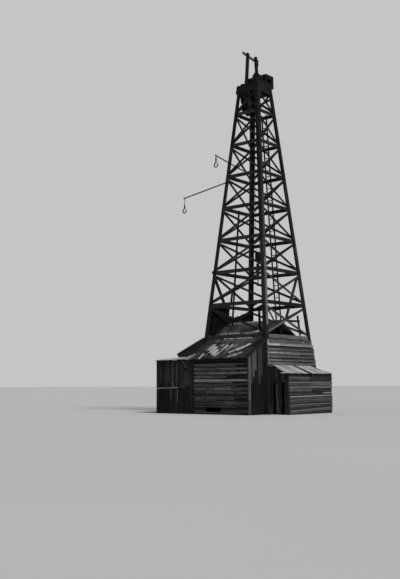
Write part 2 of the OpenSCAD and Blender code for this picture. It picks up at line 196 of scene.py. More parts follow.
def weathered_wood(name, streak=0.35, edge=0.5, blotch=1.5):
    """Bare timber. The boards bring their tone and the place on the board, in metres.
    streak is how far the fibres show, edge how pale a board wears, blotch how far it is stained."""
    material, tree = new_material(name)
    grain, tone, across = (tree.node("ShaderNodeAttribute", {}, out, attribute_name=key)
                           for key, out in (("grain", 1), ("tone", 2), ("across", 2)))
    fibres = tree.noise(tree.vector("MULTIPLY", grain, (1.3, 38.0, 38.0)), 1.0, 4.0, 0.6)
    bands = tree.noise(tree.vector("MULTIPLY", grain, (0.5, 9.0, 9.0)), 1.0, 2.0)
    stains = tree.noise(grain, 1.7, 4.0, 0.6)
    cells = {"Vector": tree.vector("MULTIPLY", grain, (1.1, 5.0, 5.0)), "Scale": 1.0}
    knot = 1 - tree.node("ShaderNodeTexVoronoi", cells).ramp(0.05, 0.13)
    worn = (across * -1).ramp(0.16, 0.48)
    shade = tone * (1 + (fibres - 0.5) * (2 * streak) + (bands - 0.5) * 0.8 + (stains - 0.5) * blotch)
    colour = tree.tint(shade * (1 - knot * 0.55) * (1 + worn * edge))
    return finish_material(material, tree, colour, 0.7 + 0.22 * fibres, fibres + bands * 0.5 - knot * 0.4, 0.006)


def cast_iron(name):
    base = 0.014
    material, tree = new_material(name)
    place = tree.on_object()
    pits = tree.noise(place, 45.0, 4.0)
    rust = tree.noise(place, 6.0, 3.0).ramp(0.45, 0.7)
    grey = tree.tint(base * (0.7 + 0.6 * pits))
    brown = tree.tint(base * (1.0 + 0.9 * pits), (1.25, 0.95, 0.75))
    colour = tree.mix(rust, grey, brown)
    return finish_material(material, tree, colour, 0.5 + 0.3 * rust + 0.15 * pits, pits, 0.003)


def wire_rope(name):
    material, tree = new_material(name)
    place = tree.on_object()
    turn = tree.part(place, "X") * 260 + tree.part(place, "Y") * 260 + tree.part(place, "Z") * 90
    strand = abs(tree.node("ShaderNodeMath", {0: turn}, operation="SINE"))
    grease = tree.noise(place, 14.0, 3.0)
    colour = tree.tint(0.012 + 0.02 * strand * grease)
    return finish_material(material, tree, colour, 0.45 + 0.3 * grease, strand, 0.002)


# ---- node groups
def placed(name, data):
    """A new object, in the scene."""
    obj = bpy.data.objects.new(name, data)
    bpy.context.scene.collection.objects.link(obj)
    return obj


def new_group(name, inputs, result):
    """A node group that takes points, numbers and a finish. Gives its tree and a wire from each input."""
    group = bpy.data.node_groups.new(name, "GeometryNodeTree")
    face = group.interface
    face.new_socket("Points", in_out="INPUT", socket_type="NodeSocketGeometry")
    for label, value in inputs.items():
        face.new_socket(label, in_out="INPUT", socket_type="NodeSocketFloat").default_value = value
    face.new_socket("Finish", in_out="INPUT", socket_type="NodeSocketMaterial")
    face.new_socket(result, in_out="OUTPUT", socket_type="NodeSocketGeometry")
    tree = Tree(group)
    start = group.nodes.new("NodeGroupInput")
    return tree, [Wire(tree, start.outputs[i]) for i in range(len(inputs) + 2)]


def closed_group(tree, geometry, finish):
    """Gives the geometry its finish and leads it out of the group."""
    done = tree.node("GeometryNodeSetMaterial", {"Geometry": geometry, "Material": finish})
    tree.node("NodeGroupOutput", {0: done})
    return tree.tree


def grown(name, places, layers, group, inputs):
    """The mesh that a group makes of points. layers has each point's own numbers or vectors."""
    mesh = bpy.data.meshes.new(name + "_points")
    mesh.from_pydata(places, [], [])
    for key, values in layers.items():
        if isinstance(values[0], float):
            mesh.attributes.new(key, "FLOAT", "POINT").data.foreach_set("value", values)
        else:
            flat = [c for value in values for c in value]
            mesh.attributes.new(key, "FLOAT_VECTOR", "POINT").data.foreach_set("vector", flat)
    maker = placed(name + "_maker", mesh)
    modifier = maker.modifiers.new(name, "NODES")
    modifier.node_group = group
    for item in group.interface.items_tree:
        if item.name in inputs:
            modifier[item.identifier] = inputs[item.name]
    graph = bpy.context.evaluated_depsgraph_get()
    graph.update()
    made = bpy.data.meshes.new_from_object(
        maker.evaluated_get(graph), preserve_all_data_layers=True, depsgraph=graph)
    maker.modifiers.clear()
    bpy.data.objects.remove(maker)
    return made


def piece(name, mesh, slot, nodes):
    """A piece that rides on the derrick. Ends past the solids' box, such as boards let into the ground,
    are cut off at it."""
    for vertex in mesh.vertices:
        vertex.co = [min(max(c, low), high) for c, low, high in zip(vertex.co, *cad_box)]
    mesh.name = name
    obj = placed(name, mesh)
    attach(obj, "derrick")
    if nodes:
        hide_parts(*nodes)


# ---- boards
def board_tree(inputs):
    """One board for each point: a box of few faces, with ragged ends, a little bow and uneven edges."""
    tree, (points, wear, bend, waver, finish) = new_group("boards", inputs, "Boards")

    def stored(name, kind="FLOAT_VECTOR"):
        return tree.node("GeometryNodeInputNamedAttribute", {"Name": name}, data_type=kind)

    def keep(geometry, name, value, kind="FLOAT_VECTOR"):
        values = {"Geometry": geometry, "Name": name, "Value": value}
        return tree.node("GeometryNodeStoreNamedAttribute", values, data_type=kind, domain="POINT")

    box = {"Size": (1, 1, 1), "Vertices X": 7, "Vertices Y": 3, "Vertices Z": 2}
    box = tree.node("GeometryNodeMeshCube", box)
    box = keep(box, "local", tree.node("GeometryNodeInputPosition"))
    laid = tree.node("GeometryNodeInstanceOnPoints", {"Points": points, "Instance": box})
    laid = tree.node("GeometryNodeRealizeInstances", {"Geometry": laid})
    place, along, side, out = (stored(name) for name in ("place", "along", "side", "out"))
    tone, ends, number = (stored(name, "FLOAT") for name in ("tone", "ends", "number"))
    u, v, w = (tree.part(stored("local"), axis) for axis in "XYZ")
    length, width, thick = (tree.part(stored("size"), axis) for axis in "XYZ")
    ragged = tree.noise(tree.joined(u * length * 0.8, v * 3.0, number * 7.31), 1.9, 2.0) - 0.5
    seed_bow = tree.joined(u * length * 0.45, 0.0, number * 3.77)
    lift = tree.noise(seed_bow, 1.0, 1.0) - 0.5
    drift = tree.noise(tree.vector("ADD", seed_bow, (0, 9.1, 0)), 1.3, 1.0) - 0.5
    at_end = (abs(u) * 2) ** 6
    x = u * length - u * 2 * at_end * (abs(ragged) * 2) * wear * ends
    y = v * width * (1 + ragged * waver * 2) + drift * waver * width * 0.5
    z = w * thick + lift * bend
    moved = place
    for way, far in ((along, x), (side, y), (out, z)):
        moved = tree.vector("ADD", moved, tree.vector("SCALE", way, far, "Scale"))
    laid = tree.node("GeometryNodeSetPosition", {"Geometry": laid, "Position": moved})
    laid = keep(laid, "grain", tree.joined(x + number * 3.1, y + number * 0.7, w * thick))
    laid = keep(laid, "across", v, "FLOAT")
    laid = keep(laid, "tone", tone, "FLOAT")
    for name in ("local", "size", "place", "along", "side", "out", "ends", "number"):
        laid = tree.node("GeometryNodeRemoveAttribute", {"Geometry": laid, "Name": name})
    return closed_group(tree, laid, finish)


class Boards:
    """The boards of one piece, each from end to end, with its width, thickness, outward side and tone."""

    def __init__(self, seed):
        self.rows = []
        self.rng = random.Random(seed)

    def pick(self, low, high):
        """A number between low and high, by chance."""
        return self.rng.uniform(low, high)

    def shade(self, tone):
        """The tone, or one by chance where two limits are given."""
        return tone if isinstance(tone, float) else self.pick(*tone)

    def add(self, start, end, width, thick, out, tone, ends=1.0):
        start, end, out = Vector(start), Vector(end), Vector(out)
        along = (end - start).normalized()
        side = out.cross(along).normalized()
        size = ((end - start).length, width, thick)
        self.rows.append(((start + end) / 2, along, side, along.cross(side), size, tone, ends))

    def lay(self, plane, start, end, depth, width, thick, tone, ends=1.0, tilt=0.0):
        """A board on a plane, from one place (u, v) to another. ends is how ragged its ends are, tilt how far
        it hangs over the one below."""
        out = plane.out - plane.v * tilt
        self.add(plane.at(*start, depth), plane.at(*end, depth), width, thick, out, tone, ends)

    def make(self, name, finish_and_slot, nodes, wear=0.05, bow=0.01, wave=0.05):
        """Makes the piece. wear, bow and wave say how ragged, bent and uneven its boards are."""
        finish, slot = finish_and_slot
        layers = dict(zip(("place", "along", "side", "out", "size", "tone", "ends"), zip(*self.rows)))
        layers["number"] = [float(i) for i in range(len(self.rows))]
        inputs = {"End wear": wear, "Bow": bow, "Wave": wave}
        mesh = grown(name, layers["place"], layers, board_tree(inputs), {"Finish": finish, **inputs})
        piece(name, mesh, slot, nodes)


# ---- planes
X, Y, Z = Vector((1, 0, 0)), Vector((0, 1, 0)), Vector((0, 0, 1))


class Plane:
    """A flat side: u runs along it, v up it, and d outwards."""

    def __init__(self, origin, u, v):
        self.origin, self.u, self.v = Vector(origin), Vector(u), Vector(v)
        self.out = self.u.cross(self.v)

    def at(self, u, v, d=0.0):
        return self.origin + self.u * u + self.v * v + self.out * d


def half(z):
    return FOOT - TAPER * z


def side_plane(k):
    """Side k of the derrick: 0 front, 1 right, 2 back, 3 left. v is the height, along the lean."""
    turn = Matrix.Rotation(radians(90 * k), 3, "Z")
    sides = ((0, -FOOT, 0), X, (0, sin(LEAN), cos(LEAN)))
    return Plane(*(turn @ Vector(side) for side in sides))


def up(z):
    return z / cos(LEAN)


def off_legs(left, right):
    """The ends of a row on a side of the derrick, from its corners."""
    return lambda v: (left - half(v), right + half(v))


def rows(boards, plane, low, high, pitch, width, span, thick, depth, tone, joints=()):
    """Level boards from low to high. span gives both ends at a height, joints the places where boards meet."""
    for i in range(round((high - low) / pitch)):
        v = low + pitch * (i + 0.5)
        a, b = span(v)
        stops = [a] + [j + boards.pick(-0.12, 0.12) for j in joints if a + 0.3 < j < b - 0.3] + [b]
        for j in range(len(stops) - 1):
            jitter = boards.pick(-0.012, 0.012)
            left = stops[j] + (boards.pick(-0.03, 0.02) if j == 0 else 0.004)
            right = stops[j + 1] + (boards.pick(-0.02, 0.03) if j == len(stops) - 2 else -0.004)
            boards.lay(plane, (left, v + jitter), (right, v - jitter), depth, width, thick, boards.shade(tone))


def columns(boards, plane, left, right, pitch, width, rise, thick, depth, tone, special=None):
    """Upright boards from left to right. rise gives both ends at a place, special the tone of single boards."""
    count = round((right - left) / pitch)
    pitch = (right - left) / count
    for i in range(count):
        u = left + pitch * (i + 0.5)
        low, high = rise(u)
        if high - low < 0.05:
            continue
        lean = boards.pick(-0.008, 0.008)
        shade = boards.shade(tone)
        boards.lay(plane, (u - lean, low), (u + lean, high), depth, width, thick, (special or {}).get(i, shade))


def courses(boards, left, right, widths):
    """Boards side by side from left to right, of widths by chance: the left edge, middle and width of each."""
    while right - left > 0.035:
        width = min(boards.rng.choice(widths), right - left)
        yield left, left + width / 2, width
        left += width


# ---- camera, light, floor
def make_view():
    """The camera of the photograph, as fitted to it."""
    focal, picture = 846.5352, 579.0  # the focal length and the height of the photograph, in its pixels
    yaw, pitch, roll = radians(40.2304), radians(6.4477), radians(-0.25)
    data = bpy.data.cameras.new("view")
    data.sensor_width = 36.0
    data.lens = data.sensor_width * focal / picture
    data.clip_end = 2000.0
    camera = placed("view", data)
    place = Matrix.Translation((33.531, -45.584, 1.8157))
    turn = Matrix.Rotation(yaw, 4, "Z") @ Matrix.Rotation(pi / 2 + pitch, 4, "X")
    camera.matrix_world = place @ turn @ Matrix.Rotation(roll, 4, "Z")
    bpy.context.scene.camera = camera


def make_light():
    key = bpy.data.lights.new("key", "SUN")
    key.energy = 3.0
    key.angle = radians(14)
    from_sun = Vector((0.62, -0.14, 0.77))
    placed("key", key).matrix_world = from_sun.to_track_quat("Z", "Y").to_matrix().to_4x4()
    world = bpy.data.worlds.new("studio")
    bpy.context.scene.world = world
    world.use_nodes = True
    world.node_tree.nodes.clear()
    tree = Tree(world.node_tree)
    light = tree.node("ShaderNodeBackground", {"Color": (1, 1, 1, 1), "Strength": 0.3})
    seen = tree.node("ShaderNodeBackground", {"Color": (0.56, 0.56, 0.56, 1), "Strength": 1.0})
    path = world.node_tree.nodes.new("ShaderNodeLightPath")
    shown = Wire(tree, path.outputs["Is Camera Ray"]) + Wire(tree, path.outputs["Is Glossy Ray"]) * 0.5
    both = tree.node("ShaderNodeMixShader", {0: shown, 1: light, 2: seen})
    tree.node("ShaderNodeOutputWorld", {0: both})


def make_floor():
    mesh = bpy.data.meshes.new("floor")
    far = 900
    mesh.from_pydata([(-far, -far, 0), (far, -far, 0), (far, far, 0), (-far, far, 0)], [], [(0, 1, 2, 3)])
    floor = placed("floor", mesh)
    material, tree = new_material("floor")
    place = tree.on_object()
    soft = tree.noise(place, 0.05, 2.0)
    finish_material(material, tree, tree.tint(0.42 + 0.04 * soft, (1, 1, 1)), 0.9 + 0.05 * soft, soft, 0.01)
    mesh.materials.append(material)


make_view()
make_light()
make_floor()

wood_frame = weathered_wood("dark_rough_timber", edge=0.15)
wood_wall = weathered_wood("weathered_wall_boards", edge=0.9)
wood_roof = weathered_wood("weathered_roof_boards", streak=0.45, edge=0.3)
wood_edge = weathered_wood("worn_board_edges", streak=0.25, edge=0.0, blotch=0.5)
wood_pale = weathered_wood("pale_roof_boards", streak=0.18, edge=0.1)
FRAME = wood_frame, "frame_timber"
WALL = wood_wall, "wall_boards"
ROOF = wood_roof, "roof_boards"
iron = cast_iron("dark_rusted_iron")
rope_steel = wire_rope("greased_wire_line")


# ---- derrick
def level(k):
    return LEG_TOP - 0.3 if k == 10 else FLOOR + BAY * k


def make_side(k, side):
    """The girts and braces of a side. On every other side they end inside the planks of its neighbours."""
    boards = Boards(20 + k)
    plane = side_plane(k)
    first = 2 if k < 2 else 0
    tones = (0.012, 0.022) if k == 1 else (0.02, 0.032)
    inset = 0.06 + PLANK * (k % 2)
    for i in range(max(first, 1), 12):
        h = CROWN_GIRT_H if i > 9 else GIRT_H
        z = LEG_TOP - 0.15 if i == 11 else (LEG_TOP - 0.45 if i == 10 else level(i))
        left = right = half(z) - inset
        z += 0.05 if (k, i) == (0, 2) else 0.0
        depth, shade = GIRT_DEPTH, 0.1 if (k, i) == (1, 2) else boards.shade(tones)
        if k == 0 and i > 9:
            depth, left, right, shade = 0.0262, half(z) + 0.09, half(z) + 0.03, 0.014
        boards.lay(plane, (-left, up(z)), (right, up(z)), depth, h, PLANK, shade, 0.3)
    for i in range(first, 10):
        z0, z1 = level(i) + GIRT_H / 2 + 0.06, level(i + 1) - GIRT_H / 2 - 0.06
        for s, depth in BRACE_DEPTHS:
            x0, x1 = half(z0) - inset - 0.03, half(z1) - inset - 0.03
            shade = boards.shade(tones)
            a, b = plane.at(-s * x0, up(z0 + 0.02), depth), plane.at(s * x1, up(z1 - 0.02), depth)
            width = BRACE_W * boards.pick(0.92, 1.1)
            if (k, i, s) == (1, 9, 1):
                a, b = plane.at(-0.68, up(20.58), depth), plane.at(0.74, up(21.36), depth)
            if (k, i, s) == (1, 2, 1):  # in two lengths, the lower one pale
                boards.add(a, a.lerp(b, 0.49), width * 1.1, PLANK, plane.out, 0.085, 0.4)
                boards.add(a.lerp(b, 0.49), b, width, PLANK, plane.out, 0.032, 0.4)
            else:
                boards.add(a, b, width, PLANK, plane.out, BRACE_TONES.get((k, i, s), shade), 0.4)
    low, high = LEG_TOP - 1.36, LEG_TOP - 0.5
    if k == 0:  # a spliced girt end, a short post under the brace and a board inside the left leg
        start, end = (-half(9.28) - 0.07, up(9.3)), (-half(9.28) + 0.28, up(9.28))
        boards.lay(plane, start, end, 0.024, 0.2, 0.045, 0.014)
        boards.lay(plane, (-0.57, 7.14), (-0.52, 7.86), LOOSE_DEPTH, 0.13, PLANK, 0.014)
        boards.lay(plane, (-0.6, up(21.66)), (-0.46, up(21.0)), LOOSE_DEPTH, 0.3, PLANK, 0.012)
    if k == 1:  # a loose brace in the lowest open bay
        boards.lay(plane, (-1.96, up(6.66)), (-1.6, up(6.38)), LOOSE_DEPTH, 0.12, BOARD, 0.02)
        boards.lay(plane, (-1.66, up(6.44)), (-1.27, up(5.87)), LOOSE_DEPTH - 0.001, 0.12, BOARD, 0.016)
    if k == 2:  # corner boards under the crown
        for u in (0.56, 0.77):
            boards.lay(plane, (u, up(low - 0.22)), (u - 0.03, up(high)), -0.114, 0.2, BOARD, 0.012, 0.2)
    if k == 3:
        for u, drop in ((-0.24, 0.5), (-0.45, 0.42), (-0.66, 0.1)):
            boards.lay(plane, (u, up(low - drop)), (u + 0.02, up(high)), -0.164, 0.2, BOARD, 0.03, 0.2)
        for u, drop in ((-0.03, 0.45), (0.17, 0.4), (0.34, 0.28)):
            boards.lay(plane, (u, up(low - drop)), (u + 0.01, up(high - 0.12)), -0.164, 0.19, BOARD, 0.014, 0.3)
    boards.make(f"{side}_girts_and_braces", FRAME, [f"side_{side}"], wear=0.04, bow=0.004, wave=0.03)


for k, side in enumerate(("front", "right", "back", "left")):
    make_side(k, side)


def make_legs():
    """The leg planks, in lengths of 4.4 m or so. One plank of each leg laps the other at the corner."""
    boards = Boards(31)
    for k in range(4):
        plane = side_plane(k)
        lap = PLANK * (k % 2)
        for s in (-1, 1):
            inner = PLANK / 2 + (0.0015 if s > 0 else 0)
            z = 0.0
            joint = 2.4 if s > 0 else (5.6 if k == 1 else 4.6)
            while z < LEG_TOP - 0.01:
                top = min(joint, LEG_TOP)
                if LEG_TOP - top < 1.0:
                    top = LEG_TOP
                tones = (0.016, 0.028)
                if (k, s) == (1, -1):
                    tones = (0.1, 0.12) if 5 < z < 9 else ((0.038, 0.05) if 9 < z < 13 else (0.018, 0.026))
                if z > 15:
                    tones = (0.01, 0.016)
                a, b = (s * (half(h) - LEG_W / 2 - lap / 2) for h in (z, top))
                start, end = (a, up(z) + 0.004), (b, up(top) - 0.003)
                boards.lay(plane, start, end, -inner, LEG_W - lap, PLANK, boards.shade(tones), 0.0)
                z = top
                joint = top + 4.4
    boards.make("leg_planks", FRAME, ["legs"], wear=0.0, bow=0.004, wave=0.012)


make_legs()


def upper_rows(boards, plane, tones):
    """The smaller boards above the siding."""
    span = off_legs(0.02, -0.02)
    rows(boards, plane, SIDING_TOP + 0.01, PANEL_LOW, 0.145, 0.135, span, SIDING_T, 0.016, tones)


def make_siding():
    boards = Boards(41)
    plane = side_plane(1)
    # the worn boards, each by its height, width and tone, in three lengths
    for v, width, pale in ((4.385, 0.14, 0.36), (4.09, 0.12, 0.13), (3.86, 0.12, 0.25), (3.615, 0.13, 0.12),
                           (3.39, 0.11, 0.18), (3.185, 0.12, 0.16), (3.02, 0.1, 0.08)):
        a, b = -half(v), half(v) + 0.15
        first, second = boards.pick(-1.6, -0.6), boards.pick(0.0, 1.4)
        for j, (c, d, share) in enumerate(((a, first, 0.86), (first, second, 0.62), (second, b, 0.5))):
            drift = boards.pick(-0.015, 0.015)
            left = c + (boards.pick(-0.05, 0.03) if j == 0 else 0.003)
            right = d - 0.003 + (boards.pick(-0.1, 0.03) if j == 2 else 0)
            boards.lay(plane, (left, v + drift), (right, v - drift), 0.02, width * boards.pick(0.85, 1.1),
                       WALL_T, share * pale * boards.pick(0.85, 1.15), 0.6, 0.1)
    # Thin dark strips in the gaps between the worn boards: painted shade, where the gaps lie in shadow.
    for v, tone in ((4.235, 0.02), (3.985, 0.05), (3.74, 0.07), (3.5, 0.012), (3.29, 0.04), (3.09, 0.03)):
        boards.lay(plane, (-half(v) + 0.05, v), (boards.pick(0.6, 1.9), v), 0.012, 0.05, 0.01, tone, 0.6)
    # The dark lining behind the boards is painted shade, standing in for the dark inside seen through the gaps.
    rows(boards, plane, SIDING_LOW, SIDING_TOP, 0.25, 0.29, off_legs(0.02, 0.1), LINING_T, 0.004, 0.02)
    upper_rows(boards, plane, (0.06, 0.09))
    beyond = (SIDING_FOOT, SIDING_LOW, 0.26, 0.24, lambda v: (FAR_Y - 0.05, half(v) + 0.15))
    rows(boards, plane, *beyond, SIDING_T, 0.016, (0.08, 0.16))
    # a pale strip and a darker one down the left corner
    boards.lay(plane, (-2.53, up(4.6)), (-2.55, up(4.34)), 0.044, 0.12, 0.02, 0.55, 0.6)
    boards.lay(plane, (-2.54, up(4.33)), (-2.61, up(3.2)), 0.044, 0.05, 0.02, 0.13, 0.6)
    boards.make("right_siding_boards", WALL, ["siding_right"], wear=0.08)

    boards = Boards(42)
    plane = side_plane(2)
    whole = (SIDING_FOOT, SIDING_TOP, 0.23)
    rows(boards, plane, *whole, 0.215, off_legs(0.0, 0.0), SIDING_T, 0.016, (0.07, 0.15), (-0.9, 1.4))
    rows(boards, plane, *whole, 0.26, off_legs(0.03, -0.03), LINING_T, 0.003, 0.12)
    boards.make("back_siding_boards", WALL, ["siding_back"], wear=0.06)

    boards = Boards(43)
    plane = side_plane(3)
    rows(boards, plane, *whole, 0.215, off_legs(0.0, 0.0), SIDING_T, 0.016, (0.05, 0.12), (-1.1, 1.2))
    upper_rows(boards, plane, (0.04, 0.08))
    rows(boards, plane, *whole, 0.26, off_legs(0.03, -0.03), LINING_T, 0.003, 0.12)

    def panel_top(u):
        if u > 0.1:
            return 6.93 - 0.014 * (u - 0.1)
        if u > -0.68:
            return 6.54
        return 6.56 + 0.29 * (-0.68 - u)

    def panel_rise(u):
        if u > 2.1:
            return PANEL_LOW, 6.15
        extra = boards.pick(-0.06, 0.0) if u < 0.1 else boards.rng.choice((0.1, 0.13, 0.02, 0.12))
        return PANEL_LOW, panel_top(u) + extra

    columns(boards, plane, -2.2, 2.28, 0.2, 0.19, panel_rise, SIDING_T, 0.016, (0.008, 0.014))
    boards.make("left_siding_boards", WALL, ["siding_left"])


make_siding()


# ---- house
def make_front_roofs():
    # the front slope: u along X, v up the slope from the eave line
    angle = atan(FALL)
    eave = (0, EAVE_Y, RIDGE_Z - FALL * (RIDGE_Y - EAVE_Y))
    slope = Plane(eave, X, (0, cos(angle), sin(angle)))
    stretch = sqrt(1 + FALL * FALL)
    top = (-2.542 - EAVE_Y) * stretch

    boards = Boards(51)
    for _, u, w in courses(boards, -2.06, 2.79, (0.16, 0.2, 0.24)):
        low = boards.rng.choice((0.0, 0.0, 0.02, 0.06, 0.1, 0.16))
        cut = boards.pick(0.9, 1.9)
        tone = boards.pick(0.014, 0.034)
        if boards.rng.random() < 0.35:
            boards.lay(slope, (u, low), (u, cut), -0.022, w - GAP, 0.024, tone)
            start, end = slope.at(u, cut - 0.1, -0.012), slope.at(u, top, -0.014)
            boards.add(start, end, w - 0.02, 0.02, slope.out, boards.pick(0.03, 0.07))
        else:
            boards.lay(slope, (u, low), (u, top), -0.02, w - GAP, ROOFING_T, tone)
    # pale battens and worn boards, each by its two ends, width and tone
    worn = ((-0.94, 1.12, -1.06, 2.04, 0.3, 0.2), (-0.57, 0.81, -0.68, 1.69, 0.3, 0.24),
            (-0.22, 0.52, -0.29, 1.3, 0.26, 0.23), (0.06, 0.32, 0.1, 0.9, 0.2, 0.22),
            (0.13, 0.9, 0.16, 1.2, 0.1, 0.16), (-1.07, 0.78, -0.96, 0.02, 0.17, 0.2),
            (-1.66, 0.02, -1.6, 1.0, 0.1, 0.05), (-0.31, 1.69, -0.27, 1.97, 0.17, 0.16),
            (0.14, 1.17, 0.13, 1.86, 0.14, 0.2), (0.47, 1.05, 0.54, 1.54, 0.1, 0.11),
            (0.53, 1.44, 0.53, 1.9, 0.2, 0.16), (0.72, 1.55, 0.98, 1.86, 0.12, 0.13),
            (0.3, 1.3, 0.36, 1.7, 0.05, 0.14), (0.92, 0.74, 1.41, 1.42, 0.15, 0.24),
            (1.35, 1.05, 1.9, 1.93, 0.18, 0.28), (1.12, 1.1, 1.5, 1.66, 0.07, 0.14),
            (1.24, 0.17, 1.66, 0.56, 0.12, 0.22), (1.61, 0.3, 1.96, 0.83, 0.13, 0.2),
            (1.0, 0.3, 1.5, 0.72, 0.05, 0.1), (-1.16, 2.24, -1.11, 2.64, 0.06, 0.09),
            (-1.35, 1.2, -1.3, 1.9, 0.07, 0.07), (0.1, 0.25, 0.3, 0.62, 0.05, 0.1),
            (0.6, 0.6, 0.75, 0.95, 0.06, 0.1), (-0.75, 0.3, -0.7, 0.75, 0.08, 0.08))
    for u0, v0, u1, v1, w, tone in worn:
        boards.add(slope.at(u0, v0, 0.012), slope.at(u1, v1, 0.014), w, 0.02, slope.out, 1.3 * tone)
    for a, b, c, d, w, tone in ((-2.03, 0.03, -1.84, 0.8, 0.14, 0.2), (-1.9, 0.02, -1.74, 0.75, 0.1, 0.12)):
        boards.add(slope.at(a, b, 0.004), slope.at(c, d, 0.008), w, 0.02, slope.out, tone)
    # A row of pale battens near the top. They are pale in their own colour, and made paler still against the girt's
    # shadow that falls on them, so they are partly painted light.
    for a, b in ((-0.79, -0.57), (-0.46, 0.07), (0.2, 1.04), (1.1, 1.5)):
        boards.lay(slope, (a, 2.75), (b, 2.74), 0.01, 0.09, 0.02, 0.3)
    for i in range(16):  # short laths near the top
        u = -1.3 + 0.21 * i
        boards.lay(slope, (u, 2.3 - 0.05 * (i % 3)), (u + 0.03, 2.66), 0.008, 0.05, 0.018, boards.pick(0.04, 0.09))
    # the boards along the right edge are darkest
    for i in range(3):
        boards.lay(slope, (2.3 + 0.17 * i, 1.5 + 0.1 * i), (2.32 + 0.17 * i, 2.84), 0.026, 0.165, 0.014, 0.01, 0.3)
    for i in range(5):
        end = (2.7 if i > 2 else 2.62, 0.84 - 0.2 * i)
        boards.lay(slope, (2.32 + 0.1 * i, 2.1 + 0.1 * i), end, 0.004, 0.09, 0.012, 0.012)
    for i in range(20):  # dark strips laid over the boards to look like gaps between them: painted shade
        u = -1.95 + 0.24 * i + boards.pick(-0.04, 0.04)
        a = boards.pick(0.0, 1.3)
        boards.lay(slope, (u, a), (u + 0.01, a + boards.pick(0.5, 1.4)), -0.003, 0.035, 0.014, 0.008)
    boards.make("front_roof_boards", ROOF, ["roof_lower"], wear=0.12, bow=0.02, wave=0.06)

    boards = Boards(52)
    low = (-2.36 - EAVE_Y) * stretch
    high = (RIDGE_Y - EAVE_Y) * stretch
    for left, u, w in courses(boards, -2.06, 2.22, (0.18, 0.22, 0.26)):
        tone = boards.pick(0.045, 0.07) if boards.rng.random() < 0.7 else boards.pick(0.075, 0.11)
        tone *= 0.45 if left > 1.2 else 1.0
        boards.lay(slope, (u, low), (u, high - boards.pick(0, 0.05)), -0.02, w - GAP, ROOFING_T, tone)
    for a, b in ((-1.58, -1.47), (-1.33, -1.07), (-0.89, -0.67), (-0.51, -0.33), (-0.22, 0.0)):
        boards.lay(slope, ((a + b) / 2, 3.3), ((a + b) / 2 + 0.02, 3.63), 0.006, b - a, 0.02, 0.28)
    for i in range(6):
        u, v = 0.4 + 0.19 * i, 3.7 + 0.03 * i
        boards.lay(slope, (u, 3.3), (u + 0.03, v), 0.006, 0.15, 0.02, 0.2 + 0.04 * i)
    for u, v0, v1, w, tone in ((-1.75, 4.86, 5.2, 0.12, 0.13), (-1.44, 4.84, 5.12, 0.1, 0.12),
            (-1.27, 4.9, 5.16, 0.12, 0.1), (-1.05, 4.88, 5.2, 0.14, 0.14), (-0.84, 4.96, 5.18, 0.1, 0.13),
            (-0.6, 5.02, 5.2, 0.16, 0.15), (-0.36, 5.0, 5.2, 0.14, 0.13), (-0.1, 4.98, 5.2, 0.14, 0.14),
            (0.14, 4.96, 5.18, 0.12, 0.12), (0.4, 5.0, 5.2, 0.16, 0.13)):
        boards.lay(slope, (u, v0), (u + 0.02, v1), 0.006, w, 0.02, 2.1 * tone)
    for i in range(22):
        u = -1.9 + 0.18 * i
        a = boards.pick(3.6, 4.2)
        end = (u + 0.02, a + boards.pick(0.5, 1.1))
        boards.lay(slope, (u, a), end, 0.0, 0.05, 0.018, (0.01, 0.06, 0.012, 0.05)[i % 4])
    boards.make("inner_front_roof_boards", ROOF, ["roof_upper_front"], wear=0.1, bow=0.015)

    boards = Boards(53)
    back = Plane((0, RIDGE_Y, RIDGE_Z), -X, (0, -cos(angle), sin(angle)))
    length = (2.33 - RIDGE_Y) * stretch
    for _, u, w in courses(boards, -2.22, 2.06, (0.18, 0.22, 0.26)):
        boards.lay(back, (u, -length), (u, 0), -0.02, w - GAP, ROOFING_T, boards.pick(0.06, 0.13))
    boards.make("inner_back_roof_boards", ROOF, ["roof_upper_back"], wear=0.08, bow=0.015)


make_front_roofs()


def under_roof(y):
    return RIDGE_Z - FALL * abs(y - RIDGE_Y) - ROOF_T / cos(atan(FALL))


